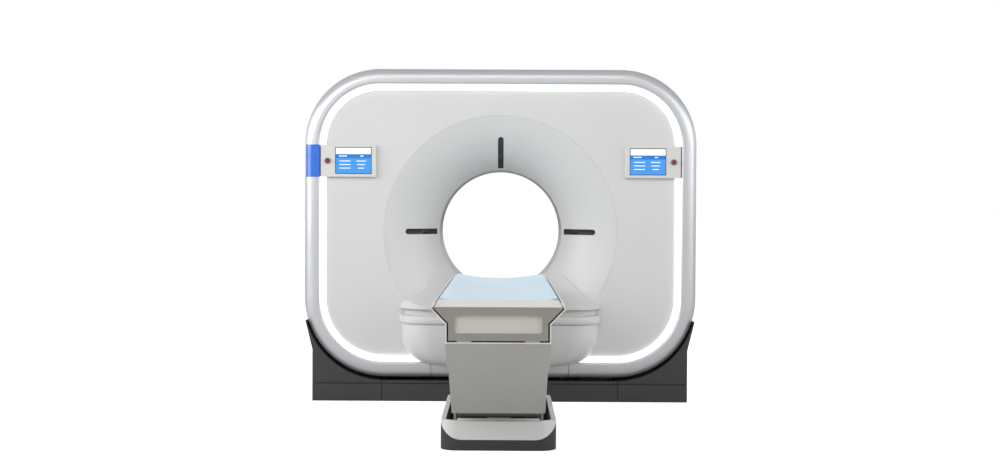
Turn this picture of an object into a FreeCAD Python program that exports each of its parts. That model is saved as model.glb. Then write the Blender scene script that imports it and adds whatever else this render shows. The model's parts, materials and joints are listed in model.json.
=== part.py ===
"""CT scanner: a gantry with its rotor, and a patient table on a parallelogram lift.

The frame is in millimetres. X is to the viewer's right, Y runs along the bore away from the
table's near end, and Z is up. The origin is on the floor, straight below the isocentre.
"""
import FreeCAD, Part
import math
import os

import Sketcher
from FreeCAD import Placement, Rotation, Vector

DRIVING_SIZES = [
    # gantry covers
    ("gantry_half", 1130), ("gantry_low", 135), ("gantry_top", 1914), ("gantry_front", 475),
    ("top_corner", 437), ("low_corner", 460), ("bezel_width", 92), ("bezel_depth", 145),
    ("bezel_nose", 62), ("cover_wall", 8), ("light_width", 36), ("panel_setback", 25),
    ("bezel_seam", 398), ("shell_seam", 560), ("cover_gap", 3),
    # bore
    ("bore_height", 975), ("bore_radius", 360), ("liner_wall", 4), ("liner_half", 200),
    ("dish_radius", 672), ("dish_curve", 450), ("dish_wall", 5),
    ("window_half", 60), ("slot_inner", 375), ("slot_outer", 549), ("slot_half", 15.5),
    # controls
    ("console_inner", 713), ("console_outer", 1034), ("console_low", 1288), ("console_high", 1474),
    ("screen_inner", 740), ("screen_outer", 950), ("screen_low", 1305), ("screen_high", 1460),
    ("stop_x", 993), ("stop_z", 1381), ("stop_radius", 13), ("stop_stem", 6),
    # chin under the bore
    ("chin_front", 602), ("chin_half", 567), ("chin_low", 211), ("chin_lip_low", 448),
    ("chin_lip_high", 500), ("chin_lid_low", 538), ("chin_lid", 556), ("chin_corner", 170),
    ("chin_side_curve", 175), ("chin_front_curve", 90), ("chin_wall", 10),
    # base
    ("base_half", 1078), ("skirt_top", 119), ("skirt_seam", 677), ("frame_beam", 90),
    ("anchor_x", 960), ("anchor_y", 385), ("anchor_hole", 9),
    # rotor and stator
    ("rotor_outer", 760), ("rotor_inner", 404), ("rotor_y", 20), ("rotor_plate", 36),
    ("bearing_radius", 440), ("ball_radius", 9), ("belt_gap", 1), ("belt_wall", 5),
    ("pulley_radius", 60), ("pulley_x", 640), ("pulley_z", 415),
    # patient table
    ("table_end", 2771), ("table_head", 655), ("lip_half", 265), ("lip_z", 705),
    ("cap_half", 205), ("cap_knee", 643), ("cap_low", 571), ("cap_depth", 62),
    ("trough_gap", 7), ("trough_wall", 5), ("trough_rim", 10),
    ("cradle_half", 252), ("cradle_edge", 733), ("cradle_sag", 67), ("cradle_wall", 14),
    ("cradle_head", 570), ("mattress_half", 249), ("mattress_end", 2663),
    ("mattress_head", 590), ("beam_low", 628), ("roller_radius", 22), ("roller_y", 950),
    ("hood_half", 218), ("hood_wall", 3), ("hood_lip_y", 2555), ("hood_low", 424),
    # lift arms
    ("pivot_y", 2010), ("pivot_z", 190), ("arm_reach", 520), ("arm_rise", 325), ("arm_pitch", 650),
    ("arm_low_half", 46), ("arm_high_half", 34), ("arm_bar", 25), ("pin_radius", 18),
    # foot
    ("foot_half", 268), ("foot_front", 2092), ("foot_back", 1150), ("foot_top", 138),
    ("foot_corner", 75), ("foot_rim", 24), ("shield_corner", 105),
    ("foot_anchor_x", 150), ("foot_anchor_pitch", 700),
]


class Size:
    """A length that carries both its number and the sheet expression that drives it."""

    def __init__(self, number, text):
        self.number = number
        self.text = text

    def __float__(self):
        return float(self.number)

    def __neg__(self):
        return Size(-self.number, f"(-{self.text})")

    def __add__(self, other):
        other = as_size(other)
        return Size(self.number + other.number, f"({self.text} + {other.text})")

    def __sub__(self, other):
        other = as_size(other)
        return Size(self.number - other.number, f"({self.text} - {other.text})")

    def __rsub__(self, other):
        return as_size(other) - self

    def __mul__(self, factor):
        return Size(self.number * factor, f"({self.text} * {factor})")

    def __truediv__(self, divisor):
        return Size(self.number / divisor, f"({self.text} / {divisor})")


def as_size(value):
    """A plain number as a Size, so that the two can be mixed."""
    if isinstance(value, Size):
        return value
    return Size(float(value), f"({float(value)})")


doc = FreeCAD.newDocument("ct_scanner")
sheet = doc.addObject("Spreadsheet::Sheet", "Sizes")


class Sizes:
    """The sheet's driving sizes, by alias."""


for row, (alias, number) in enumerate(DRIVING_SIZES, start=1):
    sheet.set(f"A{row}", alias)
    sheet.set(f"B{row}", str(number))
    sheet.setAlias(f"B{row}", alias)
    setattr(Sizes, alias, Size(number, f"Sizes.{alias}"))
doc.recompute()
S = Sizes
nodes = []


def node(thing, label):
    """Name a finished sub-part and list it for writing."""
    thing.Label = label
    nodes.append(thing)
    return thing


def bind(thing, prop, size):
    """Drive one property from the sheet."""
    size = as_size(size)
    thing.setExpression(prop, size.text)


def place(thing, x=0, y=0, z=0, rotation=None):
    """Put a primitive at a bound place."""
    thing.Placement = Placement(Vector(float(x), float(y), float(z)), rotation or Rotation())
    for axis, size in (("x", x), ("y", y), ("z", z)):
        if isinstance(size, Size):
            bind(thing, f"Placement.Base.{axis}", size)
    return thing


def box(x0, x1, y0, y1, z0, z1):
    """A block between three pairs of bound planes."""
    block = doc.addObject("Part::Box", "block")
    bind(block, "Length", as_size(x1) - x0)
    bind(block, "Width", as_size(y1) - y0)
    bind(block, "Height", as_size(z1) - z0)
    return place(block, x0, y0, z0)


ALONG = {"X": Rotation(Vector(0, 0, 1), Vector(1, 0, 0)),
         "Y": Rotation(Vector(0, 0, 1), Vector(0, 1, 0)),
         "Z": Rotation()}


def cylinder(radius, length, x, y, z, along="Y"):
    """A cylinder that starts at a place and runs along one axis."""
    rod = doc.addObject("Part::Cylinder", "rod")
    bind(rod, "Radius", radius)
    bind(rod, "Height", length)
    return place(rod, x, y, z, ALONG[along])


def cut(base, *tools):
    """The base less each tool."""
    for tool in tools:
        result = doc.addObject("Part::Cut", "cut")
        result.Base = base
        result.Tool = tool
        base = result
    return base


def fuse(*things):
    """One solid from touching or overlapping things."""
    result = doc.addObject("Part::MultiFuse", "fuse")
    result.Shapes = list(things)
    result.Refine = True
    return result


def common(*things):
    """What all the things share."""
    result = doc.addObject("Part::MultiCommon", "common")
    result.Shapes = list(things)
    return result


def group(*things):
    """Separate solids kept together as one node."""
    result = doc.addObject("Part::Compound", "group")
    result.Links = list(things)
    return result


def mirrored(thing):
    """The same piece on the other side of the YZ plane."""
    result = doc.addObject("Part::Mirroring", "mirror")
    result.Source = thing
    result.Base = Vector(0, 0, 0)
    result.Normal = Vector(1, 0, 0)
    return result


def new_body(name="body"):
    """An empty PartDesign body."""
    return doc.addObject("PartDesign::Body", name)


def sketch_on(body, role, lift=0, rise=0):
    """A sketch on one of the body's origin planes, lifted along its normal."""
    sketch = body.newObject("Sketcher::SketchObject", "sketch")
    plane = next(f for f in body.Origin.OriginFeatures if f.Role == role)
    sketch.AttachmentSupport = [(plane, "")]
    sketch.MapMode = "FlatFace"
    sketch.AttachmentOffset = Placement(Vector(0, float(rise), float(lift)), Rotation())
    if isinstance(lift, Size):
        bind(sketch, "AttachmentOffset.Base.z", lift)
    if isinstance(rise, Size):
        bind(sketch, "AttachmentOffset.Base.y", rise)
    return sketch


def pin_along(sketch, kind, geometry, point, size):
    """Hold one coordinate of a sketch point at a bound size."""
    size = as_size(size)
    if abs(size.number) < 1e-9:
        axis = -2 if kind == "DistanceX" else -1
        sketch.addConstraint(Sketcher.Constraint("PointOnObject", geometry, point, axis))
        return
    index = sketch.addConstraint(Sketcher.Constraint(kind, -1, 1, geometry, point, size.number))
    sketch.setExpression(f"Constraints[{index}]", size.text)


def pin(sketch, geometry, point, across, up):
    """Hold one sketch point at bound coordinates."""
    pin_along(sketch, "DistanceX", geometry, point, across)
    pin_along(sketch, "DistanceY", geometry, point, up)


def polygon(sketch, points):
    """A closed outline of straight sides through bound points."""
    ends = [Vector(float(a), float(b), 0) for a, b in points]
    first = sketch.GeometryCount
    count = len(ends)
    for i in range(count):
        sketch.addGeometry(Part.LineSegment(ends[i], ends[(i + 1) % count]), False)
    for i in range(count):
        following = first + (i + 1) % count
        sketch.addConstraint(Sketcher.Constraint("Coincident", first + i, 2, following, 1))
    for i, (across, up) in enumerate(points):
        pin(sketch, first + i, 1, across, up)


def circle(sketch, across, up, radius):
    """A bound circle."""
    radius = as_size(radius)
    centre = Vector(float(across), float(up), 0)
    index = sketch.addGeometry(Part.Circle(centre, Vector(0, 0, 1), radius.number), False)
    pin(sketch, index, 3, across, up)
    held = sketch.addConstraint(Sketcher.Constraint("Radius", index, radius.number))
    sketch.setExpression(f"Constraints[{held}]", radius.text)


def rounded(sketch, low, high, low_radius, high_radius):
    """A closed outline of a rectangle with one radius for its low corners and one for its high."""
    (x0, z0), (x1, z1) = [(as_size(a), as_size(b)) for a, b in (low, high)]
    r0, r1 = as_size(low_radius), as_size(high_radius)
    sides = [((x0 + r0, z0), (x1 - r0, z0)), ((x1, z0 + r0), (x1, z1 - r1)),
             ((x1 - r1, z1), (x0 + r1, z1)), ((x0, z1 - r1), (x0, z0 + r0))]
    centres = [((x1 - r0, z0 + r0), r0, 270), ((x1 - r1, z1 - r1), r1, 0),
               ((x0 + r1, z1 - r1), r1, 90), ((x0 + r0, z0 + r0), r0, 180)]
    first = sketch.GeometryCount
    for side, (centre, radius, angle) in zip(sides, centres):
        start, end = [Vector(float(a), float(b), 0) for a, b in side]
        sketch.addGeometry(Part.LineSegment(start, end), False)
        middle = Vector(float(centre[0]), float(centre[1]), 0)
        round_corner = Part.Circle(middle, Vector(0, 0, 1), radius.number)
        turn = (math.radians(angle), math.radians(angle + 90))
        sketch.addGeometry(Part.ArcOfCircle(round_corner, *turn), False)
    for i in range(4):
        line, arc, after = first + 2 * i, first + 2 * i + 1, first + (2 * i + 2) % 8
        sketch.addConstraint(Sketcher.Constraint("Coincident", line, 2, arc, 1))
        sketch.addConstraint(Sketcher.Constraint("Coincident", arc, 2, after, 1))
        pin(sketch, line, 1, *sides[i][0])
        pin(sketch, line, 2, *sides[i][1])
        radius = centres[i][1]
        held = sketch.addConstraint(Sketcher.Constraint("Radius", arc, radius.number))
        sketch.setExpression(f"Constraints[{held}]", radius.text)


def pad(body, sketch, length):
    """Grow the body from a sketch along the sketch's normal."""
    feature = body.newObject("PartDesign::Pad", "pad")
    feature.Profile = sketch
    bind(feature, "Length", length)
    sketch.Visibility = False
    body.Tip = feature
    return feature


def round_edges(body, radius, wanted):
    """Fillet the body's edges that pass a test, with a bound radius."""
    doc.recompute()
    base = body.Tip
    names = [f"Edge{i}" for i, edge in enumerate(base.Shape.Edges, start=1) if wanted(edge)]
    if not names:
        raise RuntimeError(f"{body.Label}: no edge to round")
    feature = body.newObject("PartDesign::Fillet", "fillet")
    feature.Base = (base, names)
    bind(feature, "Radius", radius)
    body.Tip = feature
    return feature


def middle_of(edge):
    """The point half way along an edge."""
    low, high = edge.ParameterRange
    return edge.valueAt((low + high) / 2)


def revolve(body, sketch, angle=360):
    """Turn a sketch about its own horizontal axis."""
    feature = body.newObject("PartDesign::Revolution", "turn")
    feature.Profile = sketch
    feature.ReferenceAxis = (sketch, ["H_Axis"])
    feature.Angle = angle
    body.Tip = feature
    return feature


def turned_ring(points):
    """A ring about the bore's axis, from (y, radius) points."""
    body = new_body("turned")
    sketch = sketch_on(body, "YZ_Plane", rise=S.bore_height)
    polygon(sketch, points)
    revolve(body, sketch)
    return body


def round_ring(inner, outer, y0, y1):
    """A plain ring about the bore's axis."""
    return turned_ring([(y0, inner), (y1, inner), (y1, outer), (y0, outer)])


def front_plate(y_front, depth, draw):
    """A plate parallel to the gantry's face: its front at y_front, running back by depth."""
    body = new_body("plate")
    sketch = sketch_on(body, "XZ_Plane", lift=-(as_size(y_front) + depth))
    draw(sketch)
    pad(body, sketch, depth)
    return body


def gantry_outline(sketch, inset):
    """The gantry's outline, moved inwards."""
    rounded(sketch, (-S.gantry_half + inset, S.gantry_low + inset),
            (S.gantry_half - inset, S.gantry_top - inset),
            S.low_corner - inset, S.top_corner - inset)


def gantry_ring(y_front, depth, outer_inset, inner_inset):
    """A band that follows the gantry's outline."""
    def draw(sketch):
        gantry_outline(sketch, as_size(outer_inset))
        gantry_outline(sketch, as_size(inner_inset))
    return front_plate(y_front, depth, draw)


# ---------------------------------------------------------------- gantry covers

def bezel_blank(grow=0):
    """The bezel's outer form, solid, with its rounded nose."""
    def draw(sketch):
        gantry_outline(sketch, as_size(-grow))
        gantry_outline(sketch, S.bezel_width)
    body = front_plate(-S.gantry_front - grow, S.bezel_depth, draw)
    front_y = -float(S.gantry_front) - grow
    outer_reach = float(S.gantry_half) - 0.5 * float(S.bezel_width)

    def on_front(edge):
        return all(abs(v.Point.y - front_y) < 1e-3 for v in edge.Vertexes)

    def is_outer(edge):
        point = middle_of(edge)
        return on_front(edge) and outside_outline(point.x, point.z, 0.5 * float(S.bezel_width))

    round_edges(body, S.bezel_nose + grow, is_outer)
    if grow == 0:
        round_edges(body, 14, lambda edge: on_front(edge) and not is_outer(edge)
                    and abs(middle_of(edge).x) <= outer_reach)
    return body


def outside_outline(x, z, inset):
    """Whether a point on the gantry's face is outside its outline moved inwards."""
    half = float(S.gantry_half) - inset
    high = float(S.gantry_top) - inset
    low = float(S.gantry_low) + inset
    radius = float(S.top_corner if z > float(S.bore_height) else S.low_corner) - inset
    dx = max(abs(x) - (half - radius), 0)
    dz = max(z - (high - radius), (low + radius) - z, 0)
    return math.hypot(dx, dz) > radius or abs(x) > half or z > high or z < low


def hollow_ring(blank, back_y):
    """A wall of the cover's thickness left after the back of a solid ring is opened."""
    doc.recompute()
    shell = doc.addObject("Part::Thickness", "shell")
    faces = [f"Face{i}" for i, face in enumerate(blank.Shape.Faces, start=1)
             if abs(face.CenterOfMass.y - back_y) < 1e-3 and face.normalAt(0, 0).y ** 2 > 0.99]
    shell.Faces = (blank, faces)
    shell.Value = -float(S.cover_wall)
    shell.setExpression("Value", "-Sizes.cover_wall")
    return shell


def build_bezels():
    """The front bezel with its removable lower length, and the rear bezel."""
    blank = bezel_blank()
    shell = hollow_ring(blank, -float(S.gantry_front) + float(S.bezel_depth))
    opening = box(-S.bezel_seam, S.bezel_seam, -S.gantry_front - 20, 0, 0, 400)
    node(cut(shell, opening), "bezel_front")
    lower = box(-S.bezel_seam + S.cover_gap, S.bezel_seam - S.cover_gap,
                -S.gantry_front - 20, 0, 0, 400)
    node(common(shell, lower), "bezel_lower_front")
    rear = doc.addObject("Part::Mirroring", "rear")
    rear.Source = shell
    rear.Normal = Vector(0, 1, 0)
    node(rear, "bezel_rear")
    return blank


def build_shells():
    """The side, top and under covers between the two bezels."""
    back = S.gantry_front - S.bezel_depth - S.cover_gap
    ring = gantry_ring(-back, back * 2, 0, S.cover_wall)
    split = S.shell_seam
    gap = S.cover_gap
    top = common(ring, box(-split, split, -500, 500, 1000, 2000))
    under = common(ring, box(-split, split, -500, 500, 0, 500))
    leg_holes = [box(x - 75, x + 75, 55, 185, 100, 200) for x in (-440, 440)]
    node(group(top, cut(under, *leg_holes)), "top_under_covers")
    side = common(ring, box(split + gap, 1200, -500, 500, 0, 2000))
    node(side, "side_cover_right")
    node(mirrored(side), "side_cover_left")


def build_light_ring():
    """The glowing diffuser between the bezel and the front panel."""
    inner = S.bezel_width + S.light_width
    ring = gantry_ring(-S.gantry_front + 15, 10, S.bezel_width + 1, inner + 1)
    consoles = [box(x, x + 120, -500, -400, S.console_low + 3, S.console_high - 3)
                for x in (970, -1090)]
    node(cut(ring, *consoles), "light_ring")


def build_front_panel():
    """The flat front panel, cut out for the dish."""
    inset = S.bezel_width + S.light_width + 3

    def draw(sketch):
        gantry_outline(sketch, inset)
        circle(sketch, 0, S.bore_height, S.dish_radius + 0.7)
    node(front_plate(-S.gantry_front + S.panel_setback, 6, draw), "front_panel")


def funnel_outline(sketch, set_back, wall):
    """The section of a funnel wall: two arcs about one centre, set back from the dish's face."""
    front_y, bore_y = S.panel_setback - S.gantry_front, -S.liner_half - 3
    bore_edge = S.bore_radius + 1
    start = Vector(float(front_y), float(S.dish_radius), 0)
    end = Vector(float(bore_y), float(bore_edge), 0)
    centre = funnel_centre(start, end)

    def arc(radius, y_low, y_high, construction=False):
        turns = [math.acos((float(y) - centre.x) / float(radius)) for y in (y_low, y_high)]
        ring = Part.Circle(centre, Vector(0, 0, 1), float(radius))
        index = sketch.addGeometry(
            Part.ArcOfCircle(ring, 2 * math.pi - turns[0], 2 * math.pi - turns[1]), construction)
        held = sketch.addConstraint(Sketcher.Constraint("Radius", index, float(radius)))
        sketch.setExpression(f"Constraints[{held}]", as_size(radius).text)
        return index

    guide = arc(S.dish_curve, front_y, bore_y, construction=True)
    pin(sketch, guide, 1, front_y, S.dish_radius)
    pin(sketch, guide, 2, bore_y, bore_edge)
    near = arc(S.dish_curve - set_back, front_y + set_back, bore_y)
    far = arc(S.dish_curve - set_back - wall, front_y + set_back + wall, bore_y)
    for index, y_low in ((near, front_y + set_back), (far, front_y + set_back + wall)):
        sketch.addConstraint(Sketcher.Constraint("Coincident", index, 3, guide, 3))
        pin_along(sketch, "DistanceX", index, 1, y_low)
        pin_along(sketch, "DistanceX", index, 2, bore_y)
    for point in (1, 2):
        places = [sketch.getPoint(index, point) for index in (near, far)]
        line = sketch.addGeometry(Part.LineSegment(*places), False)
        sketch.addConstraint(Sketcher.Constraint("Coincident", line, 1, near, point))
        sketch.addConstraint(Sketcher.Constraint("Coincident", line, 2, far, point))


def funnel_centre(start, end):
    """The centre of the dish's arc, which lies behind and outside it."""
    chord = end - start
    middle = (start + end) / 2
    rise = math.sqrt(float(S.dish_curve) ** 2 - (chord.Length / 2) ** 2)
    return middle + Vector(-chord.y, chord.x, 0) / chord.Length * rise


def funnel(set_back, wall):
    """The funnel from the panel to the bore, turned about the bore's axis."""
    body = new_body("funnel")
    sketch = sketch_on(body, "YZ_Plane", rise=S.bore_height)
    funnel_outline(sketch, set_back, wall)
    revolve(body, sketch)
    return body


def slot_tool(margin):
    """The three laser slots as one set of straight-sided cutters with a round outer end."""
    tools = []
    for angle in (0, 90, 270):
        body = new_body("slot")
        sketch = sketch_on(body, "XZ_Plane", lift=200)
        half = S.slot_half + margin
        inner = S.slot_inner - margin
        outer = S.slot_outer + margin
        polygon(sketch, [(-half, inner), (half, inner), (half, outer - half), (-half, outer - half)])
        pad(body, sketch, 300)
        end = cylinder(half, 300, 0, -500, S.slot_outer - S.slot_half)
        slot = fuse(body, end)
        slot.Placement = Placement(Vector(0, 0, float(S.bore_height)),
                                   Rotation(Vector(0, 1, 0), angle))
        bind(slot, "Placement.Base.z", S.bore_height)
        tools.append(slot)
    return tools


def build_bore():
    """The dishes, the front one with laser windows, the bore liners, scan window and rear panel."""
    node(cut(funnel(0, S.dish_wall), *slot_tool(1)), "front_dish")
    glass = funnel(2, 3)
    node(group(*[common(glass, tool) for tool in slot_tool(0)]), "laser_windows")

    liner_outer = S.bore_radius + S.liner_wall
    liners = [round_ring(S.bore_radius, liner_outer, -S.liner_half, -S.window_half),
              round_ring(S.bore_radius, liner_outer, S.window_half, S.liner_half)]
    node(group(*liners), "bore_liners")
    node(round_ring(S.bore_radius, S.bore_radius + 2.5, -S.window_half + 0.5, S.window_half - 0.5),
         "scan_window")
    turned = doc.addObject("Part::Mirroring", "rear_funnel")
    turned.Source = funnel(0, S.dish_wall)
    turned.Normal = Vector(0, 1, 0)

    node(turned, "rear_dish")

    def draw(sketch):
        gantry_outline(sketch, S.bezel_width + 2)
        circle(sketch, 0, S.bore_height, S.dish_radius + 0.7)
    rear_y = S.gantry_front - S.panel_setback - 6
    node(front_plate(rear_y, 6, draw), "rear_panel")


# ---------------------------------------------------------------- chin under the bore

def chin_plan(half, front, low, depth, roll=0):
    """A block with the chin's plan, from low upwards, that ends just before the front panel."""
    body = new_body("chin")
    sketch = sketch_on(body, "XY_Plane", lift=low)
    rounded(sketch, (-half, -front), (half, -S.gantry_front + 150), S.chin_corner, 40)
    pad(body, sketch, depth)
    if roll:
        round_edges(body, roll, lambda edge: abs(edge.tangentAt(edge.FirstParameter).z) < 0.5)
    return cut(body, box(-700, 700, -S.gantry_front + S.panel_setback - 1, 0, 0, 1200))


def bowl_form(inset):
    """The bowl's rounded underside, moved inwards: plans that shrink down a quarter ellipse."""
    body = new_body("bowl")
    side = S.chin_side_curve - inset
    front = S.chin_front_curve - inset * 0.5
    sketches = []
    for angle in (0, 22, 42, 60, 75, 86):
        shrink = 1 - math.cos(math.radians(angle))
        drop = math.sin(math.radians(angle))
        sketch = sketch_on(body, "XY_Plane",
                           lift=S.chin_low + inset + side - side * drop)
        half = S.chin_half - inset - side * shrink
        rounded(sketch, (-half, -S.chin_front + 8 + inset + front * shrink),
                (half, -S.gantry_front + 150), S.chin_corner - inset - 60 * shrink, 40)
        sketches.append(sketch)
    feature = body.newObject("PartDesign::AdditiveLoft", "loft")
    feature.Profile = sketches[0]
    feature.Sections = sketches[1:]
    body.Tip = feature
    return body


def lid_section(y, outer_z, ridge_x, ridge_z, middle_z):
    """One closed section of the lid: flanks that rise to two ridges, and a sag between them."""
    outer = float(S.chin_half) + 73
    foot = float(S.chin_lid_low)
    ridge = (Vector(ridge_x, y, ridge_z), Vector(-ridge_x, y, ridge_z))
    corners = [ridge[1], Vector(-outer, y, outer_z), Vector(-outer, y, foot - 60),
               Vector(outer, y, foot - 60), Vector(outer, y, outer_z), ridge[0]]
    sag = Part.Arc(ridge[0], Vector(0, y, middle_z), ridge[1]).toShape()
    flanks = [Part.LineSegment(a, b).toShape() for a, b in zip(corners, corners[1:])]
    return Part.Wire([*flanks, sag])


def lid_form(drop):
    """The lid's lofted form: from the chin's flat front edge it fans up to the bore's sides."""
    edge = float(S.chin_lid)
    front = -float(S.chin_front)
    panel = float(S.panel_setback) - float(S.gantry_front)
    bore_y = -float(S.liner_half) + 2
    sag = float(S.bore_height) - float(S.bore_radius)
    rows = [(front - 40, edge, 560, edge, edge - 1), (front, edge, 560, edge, edge - 1),
            (panel, edge - 54, 430, edge + 96, edge + 22),
            (panel + 56, edge - 51, 400, edge + 134, edge + 31),
            (panel + 117, edge - 46, 370, edge + 167, edge + 40),
            (panel + 190, edge - 16, 312, edge + 179, sag - 11),
            (bore_y, edge + 44, 262, edge + 175, sag - 1)]
    sections = [lid_section(y, outer_z - drop, ridge_x, ridge_z - drop, middle_z - drop)
                for y, outer_z, ridge_x, ridge_z, middle_z in rows]
    return Part.makeLoft(sections, True, True)


def behind_funnel(gap):
    """All that lies behind the dish's face and the front panel, with a gap in front of them."""
    panel = float(S.panel_setback) - float(S.gantry_front)
    start = Vector(panel, float(S.dish_radius), 0)
    end = Vector(-float(S.liner_half) - 3, float(S.bore_radius) + 1, 0)
    centre = funnel_centre(start, end)
    reach = float(S.dish_curve) + gap
    far = float(S.dish_radius) + 400

    def at(y, radius):
        return Vector(0, y, float(S.bore_height) - radius)

    def on_arc(angle):
        return at(centre.x - reach * math.cos(angle), centre.y - reach * math.sin(angle))
    turns = [math.atan2(centre.y - spot.y, centre.x - spot.x) for spot in (start, end)]
    low, middle, high = [on_arc(t) for t in (turns[0], sum(turns) / 2, turns[1])]
    wire = Part.Wire([Part.LineSegment(at(low.y, far), low).toShape(),
                      Part.Arc(low, middle, high).toShape(),
                      Part.LineSegment(high, at(high.y, far)).toShape(),
                      Part.LineSegment(at(high.y, far), at(low.y, far)).toShape()])
    axis_point = Vector(0, 0, float(S.bore_height))
    return Part.Face(wire).revolve(axis_point, Vector(0, 1, 0), 360)


def build_chin():
    """The bowl with its lip and neck, and the fanned lid that runs up to the bore."""
    wall = S.chin_wall
    curve_top = S.chin_low + S.chin_side_curve
    side = chin_plan(S.chin_half, S.chin_front - 8, curve_top, S.chin_lip_low - curve_top)
    lip = chin_plan(S.chin_half + 15, S.chin_front, S.chin_lip_low,
                    S.chin_lip_high - S.chin_lip_low, 20)
    neck = chin_plan(S.chin_half - 12, S.chin_front - 30, S.chin_lip_high,
                     S.chin_lid_low - S.chin_lip_high - 0.5)
    hollow = chin_plan(S.chin_half - 34, S.chin_front - 46, curve_top - 0.5, 400)
    front = S.gantry_front
    behind = box(-700, 700, S.panel_setback - front - 1, 200, 0, 1200)
    bezel_room = box(-700, 700, -front - 1, 200, 0, S.gantry_low + S.bezel_width + 2)
    light_room = box(-700, 700, -front + 14, 200, 0,
                     S.gantry_low + S.bezel_width + S.light_width + 2)
    bowl = cut(fuse(bowl_form(0), side, lip, neck), bowl_form(wall), hollow, behind, bezel_room,
               light_room)
    node(bowl, "chin_bowl")

    plan = chin_plan(S.chin_half + 8, S.chin_front, S.chin_lid_low, 400)
    inner_plan = chin_plan(S.chin_half - 2, S.chin_front - 10, S.chin_lid_low - 1, 400)
    doc.recompute()
    toward_bore = Part.makeBox(1150, 260, 400, Vector(-575, float(S.panel_setback - front) - 2,
                                                      float(S.chin_lid_low)))
    liner_front = Part.makeCylinder(1000, 400, Vector(0, -float(S.liner_half) - 1.5,
                                                      float(S.bore_height)), Vector(0, 1, 0))
    reach = plan.Shape.fuse(toward_bore)
    solid = lid_form(0).common(reach).cut(behind_funnel(1)).cut(liner_front)
    inner = lid_form(8).common(inner_plan.Shape.fuse(
        Part.makeBox(1130, 300, 400, Vector(-565, float(S.panel_setback - front) - 3,
                                            float(S.chin_lid_low) - 1))))
    lid = doc.addObject("Part::Feature", "lid_form")
    lid.Shape = max(solid.cut(inner).Solids, key=lambda piece: piece.Volume).removeSplitter()
    node(lid, "chin_lid")


# ---------------------------------------------------------------- controls

def build_controls(blank):
    """On each side a console with its screen, stop collar and stop button; on one a badge."""
    face = -S.gantry_front + 2
    housing = front_plate(face, 22, lambda sketch: rounded(
        sketch, (S.console_inner, S.console_low), (S.console_outer, S.console_high), 10, 10))
    round_edges(housing, 4, lambda edge: all(abs(v.Point.y - float(face)) < 1e-3
                                             for v in edge.Vertexes))
    relief = box(S.console_outer - 75, S.console_outer + 10, face + 12, face + 30, 1200, 1500)
    recess = box(S.screen_inner, S.screen_outer, face - 5, face + 5, S.screen_low, S.screen_high)
    stem_hole = cylinder(S.stop_stem + 0.1, 60, S.stop_x, face - 20, S.stop_z)
    console = cut(housing, relief, recess, stem_hole)
    glass = front_plate(face + 0.5, 4.3, lambda sketch: rounded(
        sketch, (S.screen_inner + 0.5, S.screen_low + 0.5),
        (S.screen_outer - 0.5, S.screen_high - 0.5), 2, 2))
    collar = cut(cylinder(S.stop_radius + 4, 5, S.stop_x, face - 5, S.stop_z),
                 cylinder(S.stop_stem + 0.1, 9, S.stop_x, face - 7, S.stop_z))
    cap = cylinder(S.stop_radius, 9, S.stop_x, face - 18.5, S.stop_z)
    rounded_cap = doc.addObject("Part::Fillet", "rounded_cap")
    rounded_cap.Base = cap
    doc.recompute()
    front_edge = min(range(3), key=lambda i: cap.Shape.Edges[i].CenterOfMass.y)
    rounded_cap.Edges = [(front_edge + 1, 4.0, 4.0)]
    stem = cylinder(S.stop_stem, 17, S.stop_x, face - 10, S.stop_z)
    button = fuse(rounded_cap, stem)
    pieces = {"console": console, "stop_button": button}
    for name, piece in pieces.items():
        node(piece, f"{name}_right")
        node(mirrored(piece), f"{name}_left")
    node(group(glass, mirrored(glass)), "touchscreens")
    node(group(collar, mirrored(collar)), "stop_collars")

    area = box(-S.gantry_half + 10, -S.gantry_half + S.bezel_width - 1, -520,
               -S.gantry_front + 75, S.console_low, S.console_high)
    node(cut(common(bezel_blank(1.5), area), blank), "badge_plate")


# ---------------------------------------------------------------- base and stator

def build_base():
    """The welded base frame with its anchor holes, and the dark skirts and corner feet."""
    half = S.base_half - 40
    deep = S.gantry_front - 35
    beam = S.frame_beam
    outer = box(-half, half, -deep, deep, 0, beam)
    windows = [box(x0, x1, -deep + beam, deep - beam, -10, 200)
               for x0, x1 in ((-half + 130, -500), (-380, 380), (720, half - 130))]
    holes = [cylinder(S.anchor_hole, 200, x, y, -20, "Z")
             for x in (-S.anchor_x, S.anchor_x) for y in (-S.anchor_y, S.anchor_y)]
    node(cut(outer, *windows, *holes), "base_frame")

    front = S.gantry_front
    groove_low = 100
    skirt = box(-S.skirt_seam, S.skirt_seam, -front, -front + 30, 0, S.skirt_top)
    groove = box(-1200, 1200, -front - 10, -front + 8, groove_low, groove_low + 6)
    rear = box(-S.skirt_seam, S.skirt_seam, front - 30, front, 0, S.skirt_top)
    node(group(cut(skirt, groove), rear), "base_skirts")

    body = new_body()
    sketch = sketch_on(body, "XZ_Plane", lift=-front)
    seam = S.skirt_seam + S.cover_gap
    polygon(sketch, [(seam, 0), (S.base_half, 0), (S.base_half, 297), (1119, 463),
                     (1114, 463), (seam, 463)])
    pad(body, sketch, front * 2)
    centre_x = S.gantry_half - S.low_corner - 6
    hollow = cylinder(S.low_corner + 8, 1000, centre_x, -500, S.low_corner + S.skirt_top + 8)
    clear = box(0, 1114, -500, 500, S.low_corner + S.skirt_top, 700)
    inside = box(S.skirt_seam - 10, S.base_half - 39, -deep - 1, deep + 1, -1, beam + 1)
    corner_groove = box(600, 1200, -front - 10, -front + 8, groove_low, groove_low + 6)
    foot = cut(body, hollow, clear, inside, corner_groove)
    node(foot, "base_corner_right")
    node(mirrored(foot), "base_corner_left")


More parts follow.
